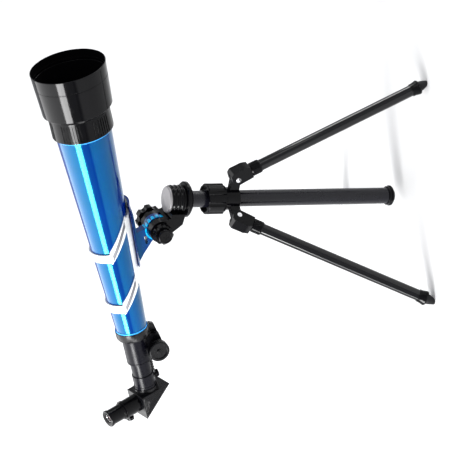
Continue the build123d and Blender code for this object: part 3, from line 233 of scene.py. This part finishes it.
def surface(tree, shader, color, rough, spread, peel=0.0, grain=0.0, streak=SCRATCHES, wear=0.0):
    """Cloudy colour, patchy gloss with hairline scratches, orange peel, grain and worn edges."""
    space = coordinates(tree)
    cloud = between(tree, noise(tree, space, CLOUD_SCALE, 4.0), 0.3, 0.7, 0.0, 1.0)
    tone = mix_color(tree, cloud, shade(color, 0.9), shade(color, 1.1))
    patch = noise(tree, space, PATCH_SCALE, 4.0, 0.6)
    gloss = between(tree, patch, 0.35, 0.7, rough - spread / 2, rough + spread)
    hair = noise(tree, coordinates(tree, streak, STREAK_TURN), 1.0, 2.0)
    lines = between(tree, hair, 0.66, 0.72, 0.0, 0.12)
    gloss = combine(tree, "ADD", gloss, lines)
    if wear:
        edge = worn_edges(tree)
        tone = mix_color(tree, combine(tree, "MULTIPLY", edge, wear), tone, shade(color, 3.5))
        gloss = combine(tree, "ADD", gloss, combine(tree, "MULTIPLY", edge, 0.2 * wear))
    link(tree, tone, shader.inputs["Base Color"])
    link(tree, gloss, shader.inputs["Roughness"])
    swell = noise(tree, space, SWELL_SCALE, 2.0)
    fine = noise(tree, space, FINE_SCALE, 2.0)
    relief = bumps(tree, [(swell, peel, SWELL_DEPTH), (fine, grain, FINE_DEPTH)])
    link(tree, relief, shader.inputs["Normal"])
    return tone, gloss


def worn_edges(tree):
    """Near 1 on edges, where the rounded normal leaves the surface's own, broken up by noise."""
    rounded = add(tree, "ShaderNodeBevel", samples=4, Radius=WEAR_RADIUS)
    geometry = tree.nodes.new("ShaderNodeNewGeometry")
    dot = tree.nodes.new("ShaderNodeVectorMath")
    dot.operation = "DOT_PRODUCT"
    link(tree, rounded.outputs["Normal"], dot.inputs[0])
    link(tree, geometry.outputs["Normal"], dot.inputs[1])
    edge = between(tree, dot.outputs["Value"], 0.98, 0.8, 0.0, 1.0)
    chips = noise(tree, coordinates(tree), CHIP_SCALE, 4.0, 0.7)
    return combine(tree, "MULTIPLY", edge, between(tree, chips, 0.42, 0.66, 0.0, 1.0))


# ---- Materials ----
def blue_shell():
    """Glossy blue moulded tube that flashes cyan, with a painted highlight that makes the lip at
    each end lighter blue.
    """
    material, tree, shader = start(
        "blue_shell", IOR=1.72, Specular_Tint=(0.02, 0.95, 1.0, 1.0),
        Coat_Weight=0.08, Coat_Roughness=0.03)
    tone = surface(
        tree, shader, (0.0003, 0.013, 0.15),
        rough=0.11, spread=0.03, peel=0.02, grain=0.01, streak=TUBE_HAIRLINES)[0]
    along = distance_along(tree, HINGE, ALONG)
    # painted highlight: a lighter blue band on the lip at each end of the tube
    rear = between(tree, along, LIP_REAR + MASK_EDGE, LIP_REAR, 0.0, 1.0)
    front = between(tree, along, LIP_FRONT - MASK_EDGE, LIP_FRONT, 0.0, 1.0)
    lip_highlight = combine(tree, "MAXIMUM", rear, front)
    link(tree, mix_color(tree, lip_highlight, tone, LIP_HIGHLIGHT_BLUE), shader.inputs["Base Color"])
    return material


def blue_bracket():
    """Deep blue casting with a painted cyan highlight on the toothed ring round the hinge."""
    material, tree, shader = start(
        "blue_bracket", IOR=1.55, Specular_Tint=(0.02, 0.75, 1.0, 1.0),
        Coat_Weight=0.15, Coat_Roughness=0.08)
    tone = surface(
        tree, shader, (0.002, 0.008, 0.13),
        rough=0.2, spread=0.06, peel=0.05, grain=0.03)[0]
    away = distance_from(tree, HINGE, Vector((0.0, 1.0, 0.0)))
    # painted highlight: a cyan band on the toothed ring round the hinge
    inner = between(tree, away, RIM_INSIDE, RIM_INSIDE + MASK_EDGE, 0.0, 1.0)
    outer = between(tree, away, RIM_OUTSIDE, RIM_OUTSIDE + MASK_EDGE, 1.0, 0.0)
    rim_highlight = combine(tree, "MULTIPLY", inner, outer)
    link(tree, mix_color(tree, rim_highlight, tone, RIM_HIGHLIGHT_CYAN), shader.inputs["Base Color"])
    return material


def white_trim():
    """Glossy white moulding."""
    material, tree, shader = start("white_trim", Coat_Weight=0.4, Coat_Roughness=0.08)
    surface(tree, shader, (0.84, 0.85, 0.86), rough=0.28, spread=0.06, peel=0.04, grain=0.03)
    return material


def grey_inlay():
    """Grey rubbery strip with fine ribs across it."""
    material, tree, shader = start("grey_inlay")
    tone = surface(
        tree, shader, (0.15, 0.153, 0.175), rough=0.45, spread=0.08)[0]
    height = distance_along(tree, HINGE, ABOVE)
    wave = combine(tree, "SINE", combine(tree, "MULTIPLY", height, RIB_RATE), 0.0)
    valley = between(tree, wave, -0.4, 0.4, 0.5, 0.0)
    link(tree, mix_color(tree, valley, tone, RIB_SHADOW), shader.inputs["Base Color"])
    grain = noise(tree, coordinates(tree), RUBBED_SCALE)
    relief = bumps(tree, [(wave, 0.6, PATTERN_DEPTH), (grain, 0.2, FINE_DEPTH)])
    link(tree, relief, shader.inputs["Normal"])
    return material


def black_gloss():
    """Glossy black plastic with worn edges."""
    material, tree, shader = start("black_gloss", Specular_IOR_Level=0.13)
    surface(
        tree, shader, (0.0015, 0.0015, 0.002),
        rough=0.13, spread=0.05, peel=0.05, grain=0.03, wear=0.25)
    return material


def shield_black():
    """Glossy outside, and matt with hardly a reflection inside the mouth."""
    material, tree, shader = start("shield_black")
    gloss = surface(
        tree, shader, (0.0015, 0.0015, 0.002),
        rough=0.1, spread=0.03, peel=0.04, grain=0.02, streak=TUBE_HAIRLINES)[1]
    along = distance_along(tree, HINGE, ALONG)
    away = distance_from(tree, HINGE + ABOVE * TUBE_RISE, ALONG)
    skin = combine(tree, "SUBTRACT", away, combine(tree, "MULTIPLY", along, SHIELD_SLOPE))
    under = between(tree, skin, SHIELD_SKIN, SHIELD_SKIN - MASK_EDGE, 0.0, 1.0)
    ahead = between(tree, along, SHIELD_BACK, SHIELD_BACK + MM, 0.0, 1.0)
    inside = combine(tree, "MULTIPLY", under, ahead)
    link(tree, combine(tree, "MAXIMUM", gloss, inside), shader.inputs["Roughness"])
    link(tree, between(tree, inside, 0.0, 1.0, 0.15, 0.02), shader.inputs["Specular IOR Level"])
    return material


def black_satin():
    """Satin black plastic with worn edges."""
    material, tree, shader = start("black_satin", Specular_IOR_Level=0.2)
    surface(
        tree, shader, (0.002, 0.002, 0.0028),
        rough=0.26, spread=0.1, peel=0.05, grain=0.25, wear=0.3)
    return material


def draw_satin():
    """Blued satin of the draw tube and the focuser."""
    material, tree, shader = start("draw_satin", Specular_IOR_Level=0.12)
    surface(
        tree, shader, (0.0025, 0.0025, 0.005),
        rough=0.26, spread=0.06, peel=0.02, grain=0.06, streak=TUBE_HAIRLINES)
    return material


def leg_lacquer():
    """Black lacquered tube, polished along its length."""
    material, tree, shader = start(
        "leg_lacquer", Specular_IOR_Level=0.05, Coat_Weight=0.7, Coat_Roughness=0.03)
    surface(
        tree, shader, (0.0015, 0.0015, 0.0022),
        rough=0.16, spread=0.05, peel=0.03, grain=0.02, streak=LEG_HAIRLINES)
    return material


def column_satin():
    """Satin black column, brushed along its length."""
    material, tree, shader = start("column_satin", Specular_IOR_Level=0.3)
    surface(
        tree, shader, (0.004, 0.004, 0.007),
        rough=0.24, spread=0.06, peel=0.03, grain=0.08, streak=COLUMN_HAIRLINES)
    return material


def silver_disc():
    """Pale disc with fine rings turned in its face."""
    material, tree, shader = start("silver_disc", Metallic=0.25)
    surface(tree, shader, (0.26, 0.25, 0.255), rough=0.38, spread=0.08)
    away = distance_from(tree, COLUMN, Vector((0.0, 0.0, 1.0)))
    rings = combine(tree, "SINE", combine(tree, "MULTIPLY", away, RING_RATE), 0.0)
    grain = noise(tree, coordinates(tree), RUBBED_SCALE)
    relief = bumps(tree, [(rings, 0.25, RING_DEPTH), (grain, 0.1, FINE_DEPTH)])
    link(tree, relief, shader.inputs["Normal"])
    return material


def steel():
    """Turned bright steel."""
    material, tree, shader = start("steel", Metallic=1.0)
    surface(
        tree, shader, (0.68, 0.68, 0.69),
        rough=0.24, spread=0.08, peel=0.02, grain=0.06, streak=TURNED_HAIRLINES)
    return material


def black_rubber():
    """Matt black rubber."""
    material, tree, shader = start("black_rubber", Specular_IOR_Level=0.25)
    surface(tree, shader, (0.004, 0.004, 0.005), rough=0.55, spread=0.12, peel=0.1, grain=0.4)
    return material


def smeared(tree, shader, smear_scale, worst, tint_scale, low, high):
    """Clean surface with faint smears and a barely uneven tint."""
    space = coordinates(tree)
    smear = between(tree, noise(tree, space, smear_scale, 4.0), 0.4, 0.7, 0.01, worst)
    link(tree, smear, shader.inputs["Roughness"])
    tint = mix_color(tree, noise(tree, space, tint_scale, 2.0), low, high)
    link(tree, tint, shader.inputs["Base Color"])


def lens_glass():
    """Coated lens."""
    material, tree, shader = start(
        "lens_glass", Transmission_Weight=1.0, IOR=1.5,
        Thin_Film_Thickness=360.0, Thin_Film_IOR=1.38)
    smeared(tree, shader, 90.0, 0.05, 40.0, (0.86, 0.93, 0.95, 1.0), (0.9, 0.95, 0.97, 1.0))
    return material


def mirror_glass():
    """Silvered mirror of the star diagonal."""
    material, tree, shader = start("mirror_glass", Metallic=1.0)
    smeared(tree, shader, 150.0, 0.06, 90.0, (0.86, 0.87, 0.88, 1.0), (0.92, 0.92, 0.93, 1.0))
    return material


def white_nylon():
    """White nylon."""
    material, tree, shader = start("white_nylon")
    surface(tree, shader, (0.74, 0.73, 0.69), rough=0.5, spread=0.1, peel=0.05, grain=0.15)
    return material


MATERIALS = {
    make.__name__: make() for make in (
        blue_shell, blue_bracket, white_trim, grey_inlay, black_gloss, shield_black, black_satin,
        draw_satin, leg_lacquer, column_satin, silver_disc, steel, black_rubber, lens_glass,
        mirror_glass, white_nylon)
}
SLOT_MATERIALS = {
    "black_tube": "leg_lacquer",
    "white_plastic": "white_nylon",
}
NODE_MATERIALS = {
    "column_tube": "column_satin",
    "dew_shield": "shield_black",
    "draw_tube": "draw_satin",
    "draw_collar": "draw_satin",
    "focuser_barrel": "draw_satin",
}


def node_slot(node):
    subparts = frame["record"]["subparts"]
    return next(part["material_slot"] for part in subparts if part["node"] == node)


# ---- Edges of the CAD nodes ----
SMOOTH_ANGLE = radians(30.0)
EDGE_ROUND = 0.2 * MM
WELD = 0.002 * MM
SHARP_NODES = ("objective_lens", "eye_lens", "field_lens", "diagonal_mirror")


def smooth_group():
    """Joins the mesh at its hard edges, and shades edges flatter than SMOOTH_ANGLE smoothly."""
    group = bpy.data.node_groups.new("smooth_by_angle", "GeometryNodeTree")
    for way in ("INPUT", "OUTPUT"):
        group.interface.new_socket("Geometry", in_out=way, socket_type="NodeSocketGeometry")
    source = group.nodes.new("NodeGroupInput")
    result = group.nodes.new("NodeGroupOutput")
    plain = add(group, "GeometryNodeRemoveAttribute", Name="custom_normal")
    merge = add(group, "GeometryNodeMergeByDistance", Distance=WELD)
    faces = add(group, "GeometryNodeSetShadeSmooth", domain="FACE")
    edges = add(group, "GeometryNodeSetShadeSmooth", domain="EDGE")
    angle = group.nodes.new("GeometryNodeInputMeshEdgeAngle")
    flat = add(group, "FunctionNodeCompare", operation="LESS_EQUAL", B=SMOOTH_ANGLE)
    link(group, source.outputs[0], plain.inputs["Geometry"])
    link(group, plain.outputs["Geometry"], merge.inputs["Geometry"])
    link(group, merge.outputs["Geometry"], faces.inputs["Geometry"])
    link(group, faces.outputs["Geometry"], edges.inputs["Geometry"])
    link(group, angle.outputs["Unsigned Angle"], flat.inputs["A"])
    link(group, flat.outputs["Result"], edges.inputs["Shade Smooth"])
    link(group, edges.outputs["Geometry"], result.inputs[0])
    return group


def round_edges(piece, group):
    smooth = piece.modifiers.new("smooth", "NODES")
    smooth.node_group = group
    bevel = piece.modifiers.new("round", "BEVEL")
    bevel.limit_method = "ANGLE"
    bevel.angle_limit = SMOOTH_ANGLE
    bevel.width = EDGE_ROUND
    bevel.segments = 2
    bevel.use_clamp_overlap = False
    bevel.harden_normals = True


def finish_nodes():
    group = smooth_group()
    for name, piece in NODES.items():
        slot = node_slot(name)
        key = NODE_MATERIALS.get(name, SLOT_MATERIALS.get(slot, slot))
        piece.data.materials.clear()
        piece.data.materials.append(MATERIALS[key])
        if name not in SHARP_NODES:
            round_edges(piece, group)


# ---- Small pieces the CAD leaves out ----
def ring_piece(name, middle, axis, radius, width, material):
    """Thin round-section ring about an axis."""
    side = axis.orthogonal().normalized()
    other = axis.cross(side)
    points, faces = [], []
    for turn in range(RING_TURNS):
        out = side * cos(2 * pi * turn / RING_TURNS) + other * sin(2 * pi * turn / RING_TURNS)
        for step in range(RING_STEPS):
            angle = 2 * pi * step / RING_STEPS
            points.append(middle + out * (radius + width * cos(angle)) + axis * width * sin(angle))
            here, ahead = turn * RING_STEPS, (turn + 1) % RING_TURNS * RING_STEPS
            after = (step + 1) % RING_STEPS
            faces.append((here + step, here + after, ahead + after, ahead + step))
    mesh = bpy.data.meshes.new(name)
    mesh.from_pydata(points, [], faces)
    mesh.polygons.foreach_set("use_smooth", [True] * len(mesh.polygons))
    mesh.materials.append(material)
    piece = bpy.data.objects.new(name, mesh)
    bpy.context.scene.collection.objects.link(piece)
    return piece


def eye_ring():
    """Bright ring that holds the eye lens."""
    low, high = (Vector(corner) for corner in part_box("eye_lens"))
    middle = (low + high) / 2 + EYE_AXIS * EYE_RING_RISE
    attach(ring_piece("eye_ring", middle, EYE_AXIS, EYE_RING_R, EYE_RING_WIDTH, MATERIALS["steel"]),
            "eyepiece")


# ---- Stage ----
FLOOR_HALF = 12.0
PAPER_DARK = (0.49, 0.49, 0.493, 1.0)
PAPER_LIGHT = (0.52, 0.52, 0.522, 1.0)
SKY = (0.95, 0.97, 1.0, 1.0)
SKY_STRENGTH = 0.6
SENSOR = 36.0
FARTHEST = 40.0
MIDDLE = Vector((0.0, 0.0, 0.25))
KNEE = Vector((COLUMN.x, COLUMN.y, 0.17))
LEVEL = Vector((0.0, 1.0, 0.0))
UPRIGHT = Vector((0.0, 0.0, 1.0))
STRIP_TURN = Vector((0.68, -0.24, 0.72))
BEHIND = Vector((-0.3, 1.0, 0.0))


def floor():
    """Wide pale floor."""
    mesh = bpy.data.meshes.new("floor")
    corners = [(x * FLOOR_HALF, y * FLOOR_HALF, 0) for x, y in ((-1, -1), (1, -1), (1, 1), (-1, 1))]
    mesh.from_pydata(corners, [], [(0, 1, 2, 3)])
    piece = bpy.data.objects.new("floor", mesh)
    bpy.context.scene.collection.objects.link(piece)
    material, tree, shader = start("floor_paper")
    fibre = noise(tree, coordinates(tree), FIBRE_SCALE)
    link(tree, between(tree, fibre, 0.3, 0.7, 0.85, 0.95), shader.inputs["Roughness"])
    link(tree, mix_color(tree, fibre, PAPER_DARK, PAPER_LIGHT), shader.inputs["Base Color"])
    mesh.materials.append(material)


def area_light(name, aim, direction, distance, size, radiance, along=UPRIGHT):
    """Soft box aimed at a point and hidden from the camera; its second side follows along."""
    data = bpy.data.lights.new(name, "AREA")
    data.shape = "RECTANGLE"
    data.size, data.size_y = size
    data.energy = radiance * pi * size[0] * size[1]
    back = Vector(direction).normalized()
    across = along.cross(back).normalized()
    lamp = bpy.data.objects.new(name, data)
    turn = Matrix((across, back.cross(across), back)).transposed()
    lamp.matrix_world = Matrix.Translation(aim + back * distance) @ turn.to_4x4()
    lamp.visible_camera = False
    bpy.context.scene.collection.objects.link(lamp)


def lights():
    area_light(
        "strip", MIDDLE, (-0.655, -0.56, 0.507),
        distance=2.4, size=(0.8, 1.1), radiance=34.0, along=STRIP_TURN)
    area_light(
        "left_box", MIDDLE, (-0.75, 0.12, 0.63),
        distance=1.6, size=(1.6, 2.8), radiance=3.1, along=LEVEL)
    area_light(
        "top_box", MIDDLE, (0.0, 0.1, 1.0),
        distance=3.5, size=(4.5, 4.5), radiance=0.5, along=LEVEL)
    area_light(
        "right_box", MIDDLE, (0.8, -0.3, 0.5),
        distance=2.2, size=(0.3, 1.4), radiance=4.0)
    area_light(
        "back_box", BEHIND, (0.0, 0.2, 1.0),
        distance=1.6, size=(1.8, 1.4), radiance=1.5, along=LEVEL)
    area_light(
        "left_panel", KNEE, (-0.83, -0.54, 0.16),
        distance=1.0, size=(0.12, 0.8), radiance=18.0)
    area_light(
        "right_panel", KNEE, (0.93, 0.36, 0.0),
        distance=0.75, size=(0.1, 0.34), radiance=24.0)
    world = bpy.data.worlds.new("studio")
    world.use_nodes = True
    background = world.node_tree.nodes["Background"]
    background.inputs["Color"].default_value = SKY
    background.inputs["Strength"].default_value = SKY_STRENGTH
    bpy.context.scene.world = world
    bpy.context.scene.view_settings.view_transform = "Standard"


def camera():
    """The photograph is turned on its side, so the picture's up runs along the view's right."""
    back = Vector((
        sin(VIEW_AZIMUTH) * cos(VIEW_ELEVATION),
        -cos(VIEW_AZIMUTH) * cos(VIEW_ELEVATION),
        sin(VIEW_ELEVATION)))
    right = Vector((cos(VIEW_AZIMUTH), sin(VIEW_AZIMUTH), 0.0))
    up = back.cross(right)
    across = right * cos(VIEW_ROLL) + up * sin(VIEW_ROLL)
    upward = up * cos(VIEW_ROLL) - right * sin(VIEW_ROLL)
    place = VIEW_TARGET + back * VIEW_DISTANCE + across * VIEW_RIGHT + upward * VIEW_UP
    data = bpy.data.cameras.new("camera")
    data.lens = LENS
    data.sensor_width = SENSOR
    data.clip_end = FARTHEST
    piece = bpy.data.objects.new("camera", data)
    turn = Matrix((-upward, across, back)).transposed()
    piece.matrix_world = Matrix.Translation(place) @ turn.to_4x4()
    bpy.context.scene.collection.objects.link(piece)
    bpy.context.scene.camera = piece


finish_nodes()
eye_ring()
floor()
lights()
camera()
